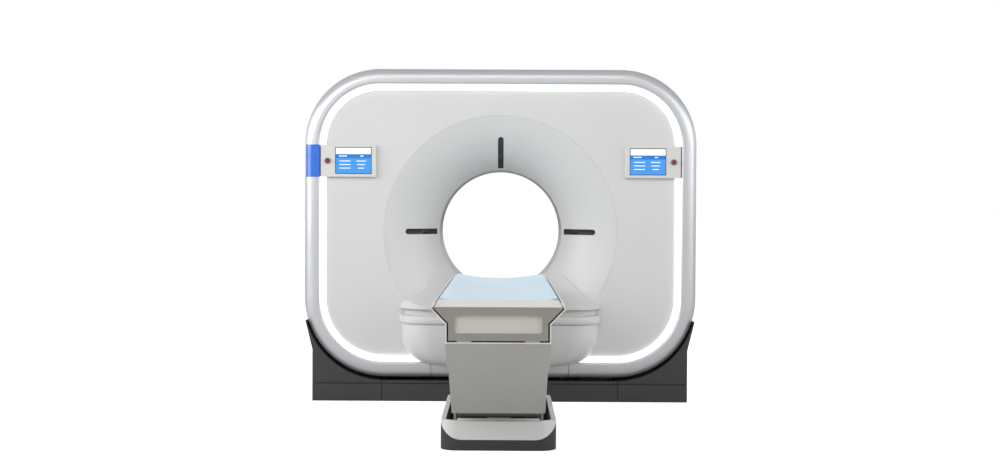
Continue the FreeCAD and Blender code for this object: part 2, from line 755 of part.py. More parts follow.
def build_stator():
    """The fixed ring on two legs, its bearing race, the brushes and the drive."""
    ring_y = S.rotor_y + S.rotor_plate + 50
    ring = round_ring(S.bearing_radius + 32, 640, ring_y, ring_y + 60)
    legs = [box(x - 65, x + 65, ring_y, ring_y + 60, S.frame_beam + 0.5, 640) for x in (-440, 440)]
    hollow = cylinder(S.bearing_radius + 32, 400, 0, 0, S.bore_height)
    node(cut(fuse(ring, *legs), hollow), "stator_frame")
    groove = S.ball_radius + 0.5
    outer_race = round_ring(S.bearing_radius + groove, S.bearing_radius + 31.5, ring_y + 5,
                            ring_y + 55)
    node(outer_race, "bearing_race_outer")
    brush_y = ring_y + 62
    node(fuse(box(-60, 60, brush_y, brush_y + 70, S.bore_height + 621, S.bore_height + 670),
              box(-40, 40, brush_y + 4, brush_y + 14, S.bore_height + 602,
                  S.bore_height + 625)), "brush_block")

    motor_x, motor_z = S.pulley_x, S.pulley_z
    can = cylinder(75, 190, motor_x, ring_y + 70, motor_z)
    bracket = box(motor_x - 250, motor_x + 90, ring_y + 60.2, ring_y + 73, motor_z - 90,
                  motor_z + 90)
    fins = [cylinder(80, 6, motor_x, ring_y + 100 + 20 * i, motor_z) for i in range(7)]
    shaft_hole = cylinder(15.1, 400, motor_x, ring_y - 60, motor_z)
    node(cut(fuse(can, bracket, *fins), shaft_hole), "drive_motor")
    wheel = cylinder(S.pulley_radius, S.rotor_plate, motor_x, S.rotor_y, motor_z)
    shaft = cylinder(15, 110, motor_x, S.rotor_y + 10, motor_z)
    lobes = [cylinder(9, 60, motor_x + 38 * math.cos(math.radians(angle)), S.rotor_y - 10,
                      motor_z + 38 * math.sin(math.radians(angle))) for angle in range(0, 360, 72)]
    node(cut(fuse(wheel, shaft), *lobes), "drive_pulley")
    build_belt()


def belt_outline(clearance):
    """The closed outline of two circles and their outer tangents."""
    big_centre = Vector(0, 0, float(S.bore_height))
    small_centre = Vector(float(S.pulley_x), 0, float(S.pulley_z))
    big = float(S.rotor_outer) + clearance
    small = float(S.pulley_radius) + clearance
    span = small_centre - big_centre
    heading = math.atan2(span.z, span.x)
    lean = math.acos((big - small) / span.Length)

    def at(centre, radius, angle):
        return centre + Vector(math.cos(angle), 0, math.sin(angle)) * radius
    ends = [(at(big_centre, big, heading + side * lean), at(small_centre, small,
             heading + side * lean)) for side in (1, -1)]
    far_big = at(big_centre, big, heading + math.pi)
    far_small = at(small_centre, small, heading)
    return Part.Wire([
        Part.Arc(ends[0][0], far_big, ends[1][0]).toShape(),
        Part.LineSegment(ends[1][0], ends[1][1]).toShape(),
        Part.Arc(ends[1][1], far_small, ends[0][1]).toShape(),
        Part.LineSegment(ends[0][1], ends[0][0]).toShape()])


def build_belt():
    """The belt round the rotor's rim and the pulley, standing just clear of both."""
    gap = float(S.belt_gap)
    faces = [Part.Face(belt_outline(clearance)) for clearance in
             (gap, gap + float(S.belt_wall))]
    depth = Vector(0, float(S.rotor_plate) - 6, 0)
    solids = [face.extrude(depth) for face in faces]
    belt = doc.addObject("Part::Feature", "belt_form")
    belt.Shape = solids[1].cut(solids[0])
    belt.Placement = Placement(Vector(0, float(S.rotor_y) + 3, 0), Rotation())
    node(belt, "drive_belt")


# ---------------------------------------------------------------- rotor

def ring_sector(inner, outer, y0, y1, middle, spread):
    """A piece of ring about the bore, centred on an angle from the top, clockwise in front view."""
    body = new_body("sector")
    sketch = sketch_on(body, "YZ_Plane", rise=S.bore_height)
    polygon(sketch, [(y0, inner), (y1, inner), (y1, outer), (y0, outer)])
    feature = revolve(body, sketch, spread)
    feature.Midplane = True
    turn = Rotation(Vector(0, 1, 0), middle)
    centre = Vector(0, 0, float(S.bore_height))
    body.Placement = Placement(centre - turn.multVec(centre), turn)
    return body


def build_rotor():
    """The turning disc and all that it carries round the bore."""
    y0 = S.rotor_y
    y1 = y0 + S.rotor_plate
    plate = round_ring(S.rotor_inner, S.rotor_outer, y0, y1)
    holes = []
    for angle in range(15, 375, 30):
        across = 560 * math.cos(math.radians(angle))
        up = 560 * math.sin(math.radians(angle))
        holes.append(cylinder(38, 200, across, y0 - 50, S.bore_height + up))
    node(cut(plate, *holes), "rotor_disc")
    race_y = y1 + 55
    race = round_ring(S.rotor_inner, S.bearing_radius - S.ball_radius - 0.5, y1, race_y + 50)
    balls = []
    count = 60
    for i in range(count):
        turn = 2 * math.pi * i / count
        ball = doc.addObject("Part::Sphere", "ball")
        bind(ball, "Radius", S.ball_radius)
        place(ball, S.bearing_radius * math.cos(turn), race_y + 25,
              S.bore_height + S.bearing_radius * math.sin(turn))
        balls.append(ball)
    node(group(race, *balls), "bearing_inner")
    hub = round_ring(S.rotor_inner, S.bearing_radius - S.ball_radius - 14, race_y + 51, race_y + 90)
    web = round_ring(S.rotor_inner + 4, 600, race_y + 76, race_y + 90)
    node(fuse(hub, web), "slip_ring")

    high = S.bore_height
    tube = cylinder(105, 330, 0, y0 - 332, high + 640)
    anode_end = cylinder(80, 24, 0, y0 - 355, high + 640)
    saddle = box(-90, 90, y0 - 250, y0 - 1, high + 700, high + 752)
    node(fuse(tube, anode_end, saddle), "xray_tube")
    node(cut(box(-130, 130, y0 - 220, y0 - 0.5, high + 420, high + 530),
             box(-90, 90, y0 - 130, y0 - 110, high + 400, high + 540)), "collimator")
    node(ring_sector(540, 640, y0 - 120, y0 - 0.5, 180, 54), "detector_cradle")
    modules = [ring_sector(505, 539, y0 - 110, y0 - 20, 180 + 2.6 * i, 2.4) for i in range(-9, 10)]
    node(group(*modules), "detector_modules")
    tank = ring_sector(470, 700, y0 - 250, y0 - 0.5, 78, 34)
    inverter = ring_sector(480, 700, y0 - 210, y0 - 0.5, 282, 34)
    node(group(tank, inverter), "high_voltage_units")
    node(ring_sector(520, 720, y0 - 180, y0 - 0.5, 126, 22), "heat_exchanger")
    node(ring_sector(560, 740, y0 - 140, y0 - 0.5, 234, 22), "counterweight")


# ---------------------------------------------------------------- patient table

def along_table(y_front, length, points):
    """A prism along the table from an outline of (x, z) points."""
    return front_plate(y_front, length, lambda sketch: polygon(sketch, points))


def cap_outline(grow, *upper):
    """The end cap's V-shaped outline, grown sideways and down, then any points above it."""
    slope = grow * 0.4
    half = [(S.cap_half + grow, S.cap_low - grow), (S.cap_half + grow, S.cap_knee - slope),
            (S.lip_half + grow, S.lip_z - slope), *upper]
    return half + [(-x, z) for x, z in reversed(half)]


def sagging_plate(y0, y1, upper, lower):
    """A plate along the table with sagging faces: each its half width, edge and middle height."""
    above, below = [(Vector(-half, y0, edge), Vector(0, y0, middle), Vector(half, y0, edge))
                    for half, edge, middle in (upper, lower)]
    wire = Part.Wire([Part.Arc(*above).toShape(),
                      Part.LineSegment(above[2], below[2]).toShape(),
                      Part.Arc(*below[::-1]).toShape(),
                      Part.LineSegment(below[0], above[0]).toShape()])
    return Part.Face(wire).extrude(Vector(0, y1 - y0, 0))


def build_end_cap():
    """The end cap with its lip, reading slit and glide pads, its fascia and its grip tray."""
    near = -S.table_end
    face = 6
    top = S.lip_z + 4
    grip = front_plate(near - 2, 22, lambda sketch: rounded(
        sketch, (-181, 601), (181, 677), 14, 14))
    fascia = along_table(near, face, cap_outline(0, (S.lip_half - 2.5, top)))
    node(cut(fascia, grip), "cap_fascia")

    block = along_table(near + face + 0.2, S.cap_depth - face - 0.2, cap_outline(-1))
    bar = along_table(near, 108, [(-S.lip_half, S.lip_z), (S.lip_half, S.lip_z),
                                  (S.cradle_half, S.cradle_edge), (-S.cradle_half, S.cradle_edge)])
    slope = side_prism(-S.lip_half - 5, S.lip_half + 5, [
        (near, top + 0.2), (near, top + 2.5), (near + 108, S.cradle_edge),
        (near + 108, S.lip_z), (near + face + 0.2, S.lip_z), (near + face + 0.2, top + 0.2)])
    slit = box(-162, 162, near + 84, near + 89, S.lip_z + 18, S.lip_z + 40)
    pads = [box(x, x + 60, near + 8, near + 52, S.cap_low - 6.5, S.cap_low + 3)
            for x in (-170, 110)]
    node(cut(fuse(block, common(bar, slope), *pads), grip, slit), "end_cap")
    tray = front_plate(near + 13, 6.5, lambda sketch: rounded(
        sketch, (-180.5, 601.5), (180.5, 676.5), 13.5, 13.5))
    node(tray, "grip_tray")


def build_tabletop():
    """The sliding top: the cradle with the beam that the roller drives, and the mattress."""
    near = -S.table_end
    cradle = doc.addObject("Part::Feature", "cradle_form")
    wall = float(S.cradle_wall)
    half = float(S.cradle_half)
    edge = float(S.cradle_edge)
    middle = edge - float(S.cradle_sag)
    cradle.Shape = sagging_plate(float(near) + 108.5, -float(S.cradle_head),
                                 (half, edge, middle), (half - wall, edge - wall, middle - wall))
    mattress = doc.addObject("Part::Feature", "mattress_form")
    across = float(S.mattress_half)
    mattress.Shape = sagging_plate(-float(S.mattress_end), -float(S.mattress_head),
                                   (across, edge + 15, edge - 12),
                                   (across, edge + 0.5, middle + 0.5))
    node(mattress, "mattress")
    beam_top = S.cradle_edge - S.cradle_sag - S.cradle_wall + 4
    beam = box(-50, 50, near + S.cap_depth + 0.2, -S.cradle_head - 30, S.beam_low, beam_top)
    node(fuse(cradle, beam), "cradle")


def build_trough():
    """The fixed trough, whose rim folds in over the end cap, and the drive at its head end."""
    near = -S.table_end + 3
    length = S.table_end - S.table_head - 3
    gap = S.trough_gap
    mouth = S.cradle_half + gap
    rim_z = S.cradle_edge - 3
    outer = along_table(near, length, cap_outline(gap + S.trough_wall, (mouth + S.trough_rim, rim_z)))
    inner = along_table(near - 10, length + 20, cap_outline(
        gap, (mouth, rim_z - 8), (mouth, rim_z + 60)))
    node(cut(outer, inner), "trough")
    floor_z = S.cap_low - gap
    roller_z = S.beam_low - S.roller_radius - 0.3
    y = -S.roller_y
    wheel = cylinder(S.roller_radius, 104, -52, y, roller_z, "X")
    shaft = cylinder(8, 152, -76, y, roller_z, "X")
    node(fuse(wheel, shaft), "drive_roller")
    blocks = []
    for x in (-78, 56):
        block = box(x, x + 22, y - 20, y + 20, floor_z, roller_z + 18)
        bore = cylinder(8.05, 60, x - 10, y, roller_z, "X")
        blocks.append(cut(block, bore))
    can = cylinder(20, 110, 80, -S.roller_y, roller_z, "X")
    foot = box(95, 180, -S.roller_y - 18, -S.roller_y + 18, floor_z, roller_z)
    node(group(fuse(can, foot), *blocks), "slide_drive")


def side_prism(x0, x1, points):
    """A prism across the table from an outline of (y, z) points."""
    body = new_body("prism")
    sketch = sketch_on(body, "YZ_Plane", lift=x0)
    polygon(sketch, points)
    pad(body, sketch, as_size(x1) - x0)
    return body


def build_underframe():
    """The steel frame under the trough and the hood round it."""
    top = S.cap_low - S.trough_gap - S.trough_wall - 0.2
    near = -S.table_end + 160
    head = -S.table_head - 60
    upper_z = S.pivot_z + S.arm_rise
    beams = []
    for x in (-206, 186):
        beam = box(x, x + 20, near, head, upper_z - 32, top)
        beams.append(beam)
    decks = [box(-206, 206, y, y + 80, top - 8, top) for y in (-2600, -1700, -1200, -800)]
    frame = fuse(*beams, *decks)
    rear_pivot = -S.pivot_y - S.arm_reach + S.arm_pitch
    pins = [cylinder(S.pin_radius, 413, -206.5, y, upper_z, "X")
            for y in (-S.pivot_y - S.arm_reach, rear_pivot)]
    node(fuse(frame, *pins), "table_frame")
    hood_points = [(-S.table_end, top), (-S.hood_lip_y, S.hood_low), (-1500, S.hood_low),
                   (-S.table_head - 30, top - 60), (-S.table_head - 30, top)]
    outer = side_prism(-S.hood_half, S.hood_half, hood_points)
    wall = S.hood_wall
    inner_points = [(-S.table_end + 9, top - wall), (-S.hood_lip_y + 9, S.hood_low - wall),
                    (-S.hood_lip_y + 9, S.hood_low - 20), (-1500, S.hood_low - 20),
                    (-S.table_head - 30 - wall, top - 60 - wall),
                    (-S.table_head - 30 - wall, top + 20), (-S.table_end + 9, top + 20)]
    inner = side_prism(-S.hood_half + wall, S.hood_half - wall, inner_points)
    node(cut(outer, inner), "table_hood")


def arm_outline(body, x, thick, low, high):
    """One flat bar of an arm: two round ends joined by tangents, about both pivots."""
    (ay, az), (by, bz) = low, high
    sketch = sketch_on(body, "YZ_Plane", lift=x)
    length = math.hypot(float(by) - float(ay), float(bz) - float(az))
    heading = math.atan2(float(bz) - float(az), float(by) - float(ay))
    r0, r1 = float(S.arm_low_half), float(S.arm_high_half)
    lean = math.acos((r0 - r1) / length)
    points = []
    for centre, radius, side in (((ay, az), r0, 1), ((by, bz), r1, 1), ((by, bz), r1, -1),
                                 ((ay, az), r0, -1)):
        angle = heading + side * lean
        points.append((centre[0] + radius * math.cos(angle), centre[1] + radius * math.sin(angle)))
    polygon(sketch, points)
    pad(body, sketch, thick)
    ends = [cylinder(r0, thick, x, ay, az, "X"), cylinder(r1, thick, x, by, bz, "X")]
    return fuse(body, *ends)


def build_arm(name, shift, bar_x, hub_half):
    """One lift arm: two bars, a hub at the foot, a cross tube, and a pin hole at each end."""
    low = (-S.pivot_y + shift, S.pivot_z)
    high = (-S.pivot_y + shift - S.arm_reach, S.pivot_z + S.arm_rise)
    bars = [arm_outline(new_body("bar"), x, S.arm_bar, low, high)
            for x in (bar_x, -bar_x - S.arm_bar)]
    hub = cylinder(S.arm_low_half, hub_half * 2, -hub_half, *low, "X")
    tube_y = low[0] - S.arm_reach * 0.45
    tube_z = low[1] + S.arm_rise * 0.45
    tube = cylinder(28, bar_x * 2 + 4, -bar_x - 2, tube_y, tube_z, "X")
    holes = [cylinder(S.pin_radius + 0.05, 600, -300, *low, "X"),
             cylinder(S.pin_radius + (0.05 if name == "lift_arm_rear" else 1.5), 600, -300,
                      *high, "X")]
    node(cut(fuse(*bars, hub, tube), *holes), name)


def build_arm_cover():
    """The raked cover that rides on the front arm: a face and two flanges."""
    along = (S.arm_reach.number ** 2 + S.arm_rise.number ** 2) ** 0.5
    ahead = Vector(0, -S.arm_reach.number / along, S.arm_rise.number / along)
    outward = Vector(0, ahead.z * -1, ahead.y)
    pivot = Vector(0, -float(S.pivot_y), float(S.pivot_z))

    def at(distance, depth):
        spot = pivot + ahead * distance + outward * depth
        return spot.y, spot.z
    low, high, depth, flange, wall = 108, along + 15, 78, 104, 4
    outer = side_prism(-S.hood_half + 5, S.hood_half - 5,
                       [at(low, depth), at(high, depth), at(high, depth - flange * 0.5),
                        at(high - 60, depth - flange), at(low + 10, depth - flange)])
    inner = side_prism(-S.hood_half + 5 + wall, S.hood_half - 5 - wall,
                       [at(low - 40, depth - wall), at(high + 40, depth - wall),
                        at(high + 40, depth - flange - 20), at(low - 40, depth - flange - 20)])
    lugs = [side_prism(x, x + 9, [at(190, depth - wall), at(260, depth - wall),
                                  at(260, -20), at(190, -20)]) for x in (175.5, -184.5)]
    node(fuse(cut(outer, inner), *lugs), "arm_cover")


def build_foot():
    """The dark foot with its anchor holes and floor link, its light cover and the pivot brackets."""
    front, back = -S.foot_front, -S.foot_back

    def plan(low, high, inset):
        body = new_body("foot")
        sketch = sketch_on(body, "XY_Plane", lift=low)
        rounded(sketch, (-S.foot_half + inset, front + inset), (S.foot_half - inset, back - inset),
                S.foot_corner - inset, S.foot_corner - inset)
        pad(body, sketch, as_size(high) - low)
        return body
    solid = plan(0, S.foot_top, 0)
    round_edges(solid, 6, lambda edge: all(abs(v.Point.z - float(S.foot_top)) < 1e-3
                                           for v in edge.Vertexes))
    wall = 5
    opening = plan(15, 400, S.foot_rim)
    shield = front_plate(front - 20, S.foot_front - S.foot_back + 60, lambda sketch: rounded(
        sketch, (-S.foot_half - 4, 50), (S.foot_half + 4, 300), S.shield_corner, 10))
    bolt_ys = (front + 120, front + 120 + S.foot_anchor_pitch)
    holes = [cylinder(S.anchor_hole, 100, x, y, -20, "Z")
             for x in (-S.foot_anchor_x, S.foot_anchor_x) for y in bolt_ys]
    inner_cover = plan(40, S.foot_top - wall, wall)
    rim = S.foot_rim
    apron = box(-190, 190, front + rim + 0.3, front + rim + 4.3, 15.2, S.foot_top + 8)
    apron_flange = box(-190, 190, front + rim - 1, front + rim + 4.3, S.foot_top - 4, S.foot_top)
    cover = cut(common(solid, shield), inner_cover, opening)
    node(fuse(cover, apron, apron_flange), "foot_cover")
    rest = cut(solid, shield, opening, *holes)
    core = cut(common(plan(0, S.foot_top - wall - 0.5, wall + 0.5), shield), opening)
    link = box(-150, 150, back - 30, -S.gantry_front - 0.5, 0, 14)
    node(fuse(rest, core, link), "foot_base")

    top = S.pivot_z + 34
    brackets = []
    for shift in (0, S.arm_pitch):
        y = -S.pivot_y + shift
        for x in (-207.5, 195.5):
            points = [(y - 42, 15.2), (y + 90, 15.2), (y + 30, top), (y - 30, top), (y - 42, 120)]
            brackets.append(cut(side_prism(x, x + 12, points),
                                cylinder(S.pin_radius, 600, -300, y, S.pivot_z, "X")))
    lower = [cylinder(S.pin_radius, 416, -208, -S.pivot_y + shift, S.pivot_z, "X")
             for shift in (0, S.arm_pitch)]
    node(group(*brackets, *lower), "pivot_brackets")
    rear_y = -S.pivot_y + S.arm_pitch
    gearbox = box(-60, 60, rear_y + 62, rear_y + 150, 15.2, 170)
    motor = cylinder(42, 170, -85, rear_y + 106, 128, "X")
    node(fuse(gearbox, motor), "lift_gearmotor")


def main():
    """Build every sub-part, check it and write it."""
    blank = build_bezels()
    build_shells()
    build_light_ring()
    build_front_panel()
    build_bore()
    build_chin()
    build_controls(blank)
    build_base()
    build_stator()
    build_rotor()
    build_end_cap()
    build_tabletop()
    build_trough()
    build_underframe()
    build_arm("lift_arm_front", 0, 150, 190)
    build_arm("lift_arm_rear", S.arm_pitch, 100, 190)
    build_arm_cover()
    build_foot()
    doc.recompute()
    failed = [f"{thing.Label}: {thing.getStatusString()}" for thing in doc.Objects
              if "Invalid" in thing.State or "Error" in thing.State]
    if failed:
        raise RuntimeError(f"failed objects: {failed}")
    os.makedirs("parts", exist_ok=True)
    for thing in nodes:
        shape = thing.Shape
        if shape.isNull() or not shape.isValid():
            raise RuntimeError(f"{thing.Label} is not a valid solid")
        shape.exportStep(f"parts/{thing.Label}.step")
        print(f"{thing.Label}: {len(shape.Solids)} solid, {shape.Volume / 1e6:.2f} litres")
    print(len(nodes), "nodes")


main()
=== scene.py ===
"""The looks of a CT scanner, built around its packed construction model.

The file is laid out as an add-on: property groups hold the sizes and colours, an operator
dresses each group of pieces, and main() calls them in order. Lengths are in metres.
"""
import json
import math

import bmesh
import bpy
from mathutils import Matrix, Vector


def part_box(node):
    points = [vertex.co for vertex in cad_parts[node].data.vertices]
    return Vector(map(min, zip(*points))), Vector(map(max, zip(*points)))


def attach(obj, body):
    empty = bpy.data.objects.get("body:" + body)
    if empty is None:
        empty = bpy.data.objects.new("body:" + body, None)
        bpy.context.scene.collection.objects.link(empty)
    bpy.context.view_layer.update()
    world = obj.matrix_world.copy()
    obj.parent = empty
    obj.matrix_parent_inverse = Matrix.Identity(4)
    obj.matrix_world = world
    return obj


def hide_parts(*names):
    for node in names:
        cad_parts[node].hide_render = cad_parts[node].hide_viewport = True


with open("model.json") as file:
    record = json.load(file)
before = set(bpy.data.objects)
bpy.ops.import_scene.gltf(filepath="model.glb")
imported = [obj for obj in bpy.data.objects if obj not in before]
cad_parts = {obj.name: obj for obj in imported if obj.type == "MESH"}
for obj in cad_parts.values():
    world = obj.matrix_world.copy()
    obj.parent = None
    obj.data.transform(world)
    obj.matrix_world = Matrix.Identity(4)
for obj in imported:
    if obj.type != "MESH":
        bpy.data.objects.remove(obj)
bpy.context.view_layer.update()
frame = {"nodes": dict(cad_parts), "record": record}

bl_info = {
    "name": "CT Scanner Looks",
    "version": (1, 0, 0),
    "blender": (4, 5, 0),
    "location": "View3D > Sidebar > Scanner",
    "description": "Finishes, mattress, displays and stage for a CT scanner",
    "category": "Object",
}

MM = 0.001


def linear(hex_colour):
    """An sRGB hex colour as linear RGBA."""
    channels = [int(hex_colour[i:i + 2], 16) / 255 for i in (1, 3, 5)]
    return [c / 12.92 if c <= 0.04045 else ((c + 0.055) / 1.055) ** 2.4 for c in channels] + [1.0]


def colour_property(name, hex_colour, description):
    """A colour that a user may change."""
    return bpy.props.FloatVectorProperty(name=name, description=description, size=4, min=0.0,
                                         max=1.0, subtype="COLOR", default=linear(hex_colour))


def length_property(name, metres, description):
    """A length that a user may change."""
    return bpy.props.FloatProperty(name=name, description=description, default=metres,
                                   min=0.0, unit="LENGTH")


class ScannerFinishes(bpy.types.PropertyGroup):
    """The colours of the scanner's finishes; the column's grey also carries painted shade."""
    cover: colour_property("Cover", "#DDDDDC", "Sprayed covers of the gantry")
    bezel: colour_property("Bezel", "#D6D8DB", "Silver lacquer of the bezel")
    liner: colour_property("Liner", "#A9ABAD", "Bore liner and scan window")
    window: colour_property("Window", "#2A2A2C", "Smoked laser windows")
    console: colour_property("Console", "#DDDEDA", "Console housings")
    skirt: colour_property("Skirt", "#3A3A3A", "Base skirts, corner feet and table foot")
    table: colour_property("Table", "#E4E2DF", "Table trough, lip and foot cover")
    cap: colour_property("Cap", "#959189", "End cap of the tabletop")
    tray: colour_property("Tray", "#CFCCC7", "Recessed grip tray")
    # Column: a grey darker than the white covers, darkened to paint in the shade that falls under
    # the tabletop.
    column: colour_property("Column", "#C2C2BE", "Raked covers under the table")
    mattress: colour_property("Mattress", "#D0EBFB", "Coated cloth of the mattress")
    stop: colour_property("Stop", "#8A2C38", "Emergency stop buttons")
    badge: colour_property("Badge", "#2470DC", "Plain enamel badge")
    screen: colour_property("Screen", "#3E8EDC", "Body of the display")
    screen_bar: colour_property("Screen bar", "#0F74C4", "Bar across the display")
    light: colour_property("Light", "#FFFFFF", "Glow of the light band")


class ScannerSizes(bpy.types.PropertyGroup):
    """The sizes of the pieces that are modelled here."""
    mattress_sag: length_property("Mattress sag", 27 * MM, "How far the top sinks in the middle")
    mattress_roll: length_property("Mattress roll", 8 * MM, "Depth of the rounded top edge")
    camera_shift: length_property("Camera shift", 0.023, "To the right of the bore's axis")
    cloth_pitch: length_property("Cloth pitch", 1.6 * MM, "Thread spacing, drawn coarse to show")
    spray_pitch: length_property("Spray pitch", 3 * MM, "Orange peel spacing of the covers")
    camera_distance: length_property("Camera distance", 8.447, "From the isocentre's plane")
    camera_height: length_property("Camera height", 1.119, "Above the floor")


# ---------------------------------------------------------------- node helpers

def start_material(name):
    """An empty material with its shader and output."""
    material = bpy.data.materials.new(name)
    material.use_nodes = True
    tree = material.node_tree
    tree.nodes.clear()
    output = add_node(tree, "ShaderNodeOutputMaterial")
    shader = add_node(tree, "ShaderNodeBsdfPrincipled")
    tree.links.new(shader.outputs["BSDF"], output.inputs["Surface"])
    return material, tree, shader


def add_node(tree, kind, settings=None, inputs=None):
    """One node with its settings, and its inputs as numbers or as sockets to link from."""
    node = tree.nodes.new(kind)
    for name, value in (settings or {}).items():
        setattr(node, name, value)
    for name, value in (inputs or {}).items():
        if isinstance(value, bpy.types.NodeSocket):
            tree.links.new(value, node.inputs[name])
        else:
            node.inputs[name].default_value = value
    return node


def set_inputs(shader, **values):
    """Numbers and colours on the shader's own sockets."""
    for name, value in values.items():
        shader.inputs[name.replace("_", " ")].default_value = value


def object_point(tree):
    """Position on the piece, in metres."""
    return add_node(tree, "ShaderNodeTexCoord").outputs["Object"]


def tone_noise(tree, shader, colour, pitch, amount):
    """A slow drift of tone over the surface."""
    noise = add_node(tree, "ShaderNodeTexNoise", inputs={
        "Vector": object_point(tree), "Scale": 1 / pitch, "Detail": 3.0})
    ramp = add_node(tree, "ShaderNodeValToRGB", inputs={"Fac": noise.outputs["Fac"]})
    low, high = ramp.color_ramp.elements
    low.position, high.position = 0.3, 0.7
    low.color = [c * (1 - amount) for c in colour[:3]] + [1.0]
    high.color = [min(c * (1 + amount), 1.0) for c in colour[:3]] + [1.0]
    tree.links.new(ramp.outputs["Color"], shader.inputs["Base Color"])


def surface_bump(tree, shader, height, depth, strength=1.0):
    """Relief from a height pattern, with its real depth."""
    bump = add_node(tree, "ShaderNodeBump", inputs={
        "Height": height, "Distance": depth, "Strength": strength})
    tree.links.new(bump.outputs["Normal"], shader.inputs["Normal"])


def rough_noise(tree, shader, pitch, low, high):
    """Roughness that wanders between two values."""
    noise = add_node(tree, "ShaderNodeTexNoise", inputs={
        "Vector": object_point(tree), "Scale": 1 / pitch, "Detail": 4.0})
    spread = add_node(tree, "ShaderNodeMapRange", inputs={
        "Value": noise.outputs["Fac"], "From Min": 0.3, "From Max": 0.7,
        "To Min": low, "To Max": high})
    tree.links.new(spread.outputs["Result"], shader.inputs["Roughness"])


# ---------------------------------------------------------------- finishes

def sprayed_cover(name, colour, rough=(0.34, 0.42), pitch=3 * MM):
    """Moulded polyurethane cover with a sprayed satin coat: even tone, faint orange peel."""
    material, tree, shader = start_material(name)
    tone_noise(tree, shader, colour, 0.4, 0.012)
    rough_noise(tree, shader, 0.12, *rough)
    peel = add_node(tree, "ShaderNodeTexNoise", inputs={
        "Vector": object_point(tree), "Scale": 1 / pitch, "Detail": 1.0})
    surface_bump(tree, shader, peel.outputs["Fac"], 0.02 * MM)
    set_inputs(shader, IOR=1.5)
    return material


def silver_lacquer(name, colour):
    """Metallic lacquer under a satin clear coat: fine flake, soft broad highlights."""
    material, tree, shader = start_material(name)
    tone_noise(tree, shader, colour, 0.5, 0.015)
    flake = add_node(tree, "ShaderNodeTexVoronoi", inputs={
        "Vector": object_point(tree), "Scale": 1 / (0.9 * MM)})
    surface_bump(tree, shader, flake.outputs["Distance"], 0.01 * MM, 0.4)
    set_inputs(shader, Metallic=0.55, Roughness=0.36)
    set_inputs(shader, Coat_Weight=0.35, Coat_Roughness=0.22)
    return material


def grained_plastic(name, colour, rough=(0.45, 0.55), grain=1.2 * MM, depth=0.05 * MM):
    """Injection moulded ABS from a spark-eroded tool: fine even grain."""
    material, tree, shader = start_material(name)
    tone_noise(tree, shader, colour, 0.25, 0.02)
    rough_noise(tree, shader, 0.05, *rough)
    pits = add_node(tree, "ShaderNodeTexVoronoi", {"feature": "SMOOTH_F1"}, {
        "Vector": object_point(tree), "Scale": 1 / grain})
    surface_bump(tree, shader, pits.outputs["Distance"], depth, 0.6)
    set_inputs(shader, IOR=1.53)
    return material


def gloss_acrylic(name, colour, rough=0.08):
    """Cast acrylic, polished: a dark clear depth with sharp reflections."""
    material, tree, shader = start_material(name)
    tone_noise(tree, shader, colour, 0.06, 0.08)
    set_inputs(shader, Roughness=rough, IOR=1.49, Coat_Weight=0.5, Coat_Roughness=0.05)
    return material


def glowing_band(name, colour):
    """Opal polycarbonate lit from behind: even white glow with a faint random drift of tone."""
    material, tree, shader = start_material(name)
    tone_noise(tree, shader, colour, 0.2, 0.02)
    set_inputs(shader, Roughness=0.5, IOR=1.58, Emission_Color=colour, Emission_Strength=1.05)
    return material


def powder_coat(name, colour, rough=(0.42, 0.55)):
    """Powder coated steel: slightly pebbled, even tone."""
    material, tree, shader = start_material(name)
    tone_noise(tree, shader, colour, 0.3, 0.05)
    rough_noise(tree, shader, 0.02, *rough)
    pebble = add_node(tree, "ShaderNodeTexNoise", inputs={
        "Vector": object_point(tree), "Scale": 1 / (2 * MM), "Detail": 2.0})
    surface_bump(tree, shader, pebble.outputs["Fac"], 0.08 * MM)
    set_inputs(shader, IOR=1.5)
    return material


def machined_metal(name, colour, rough, pitch=1.2 * MM):
    """Turned or milled metal: fine tool lines and a bright broken reflection."""
    material, tree, shader = start_material(name)
    tone_noise(tree, shader, colour, 0.2, 0.05)
    lines = add_node(tree, "ShaderNodeTexWave", {"wave_type": "RINGS", "rings_direction": "Y"}, {
        "Vector": object_point(tree), "Scale": 1 / (pitch * 20), "Distortion": 0.6,
        "Detail": 2.0})
    surface_bump(tree, shader, lines.outputs["Fac"], 0.03 * MM, 0.5)
    set_inputs(shader, Metallic=1.0, Roughness=rough)
    return material


def belt_rubber(name, colour):
    """Black belt rubber: matte, with a cloth-backed grain."""
    material, tree, shader = start_material(name)
    tone_noise(tree, shader, colour, 0.05, 0.15)
    rib = add_node(tree, "ShaderNodeTexWave", {"bands_direction": "Y"}, {
        "Vector": object_point(tree), "Scale": 1 / (5 * MM * 6.28)})
    surface_bump(tree, shader, rib.outputs["Fac"], 0.4 * MM)
    set_inputs(shader, Roughness=0.75, IOR=1.52)
    return material


def coated_cloth(name, colour, pitch):
    """Polyurethane-coated knit for a mattress: soft sheen, a fine thread grain, wipeable."""
    material, tree, shader = start_material(name)
    tone_noise(tree, shader, colour, 0.3, 0.015)
    point = object_point(tree)
    threads = []
    for direction in ("X", "Y"):
        wave = add_node(tree, "ShaderNodeTexWave", {"bands_direction": direction}, {
            "Vector": point, "Scale": 1 / (pitch * 6.28), "Distortion": 0.4})
        threads.append(wave.outputs["Fac"])
    weave = add_node(tree, "ShaderNodeMath", {"operation": "MULTIPLY"}, {0: threads[0],
                                                                        1: threads[1]})
    surface_bump(tree, shader, weave.outputs["Value"], 0.06 * MM, 0.5)
    set_inputs(shader, Roughness=0.55, IOR=1.48, Sheen_Weight=0.25, Sheen_Roughness=0.4)
    return material


